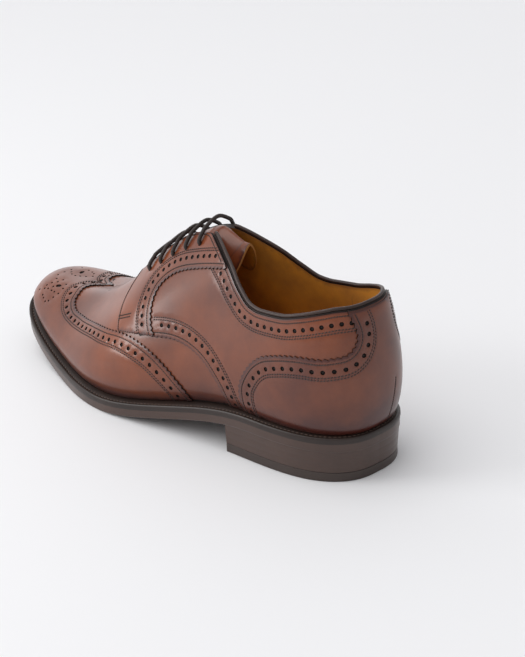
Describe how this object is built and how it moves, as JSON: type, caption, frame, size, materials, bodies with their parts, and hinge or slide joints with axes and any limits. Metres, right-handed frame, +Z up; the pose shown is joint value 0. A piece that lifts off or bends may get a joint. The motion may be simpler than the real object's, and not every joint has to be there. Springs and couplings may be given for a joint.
{
  "type": "dress shoe",
  "caption": "Left wing-tip derby shoe in brown calf leather, laced, with welt, leather sole and stacked heel.",
  "frame": {"origin": "on the floor, under the middle of the shoe's box", "axes": "+Y towards the toe, +Z up, -X towards the outer side of the foot"},
  "size_m": [0.1098, 0.2988, 0.1245],
  "materials": {
    "calf_leather": "burnished satin",
    "sole_leather": "waxed edge",
    "lining_leather": "matte",
    "trim_leather": "satin",
    "heel_rubber": "matte",
    "lace_cotton": "waxed cord"
  },
  "bodies": {
    "root": {"outsole": "sole_leather", "welt": "sole_leather", "heel_stack": "sole_leather", "heel_top_piece": "heel_rubber", "insole": "lining_leather", "upper": "calf_leather", "wing_cap": "calf_leather", "counter": "calf_leather", "facing_lateral": "calf_leather", "facing_medial": "calf_leather", "tongue": "calf_leather", "collar_bead": "trim_leather", "lace_bar_1": "lace_cotton", "lace_bar_2": "lace_cotton", "lace_bar_3": "lace_cotton", "lace_bar_4": "lace_cotton", "lace_bar_5": "lace_cotton"}
  },
  "joints": []
}
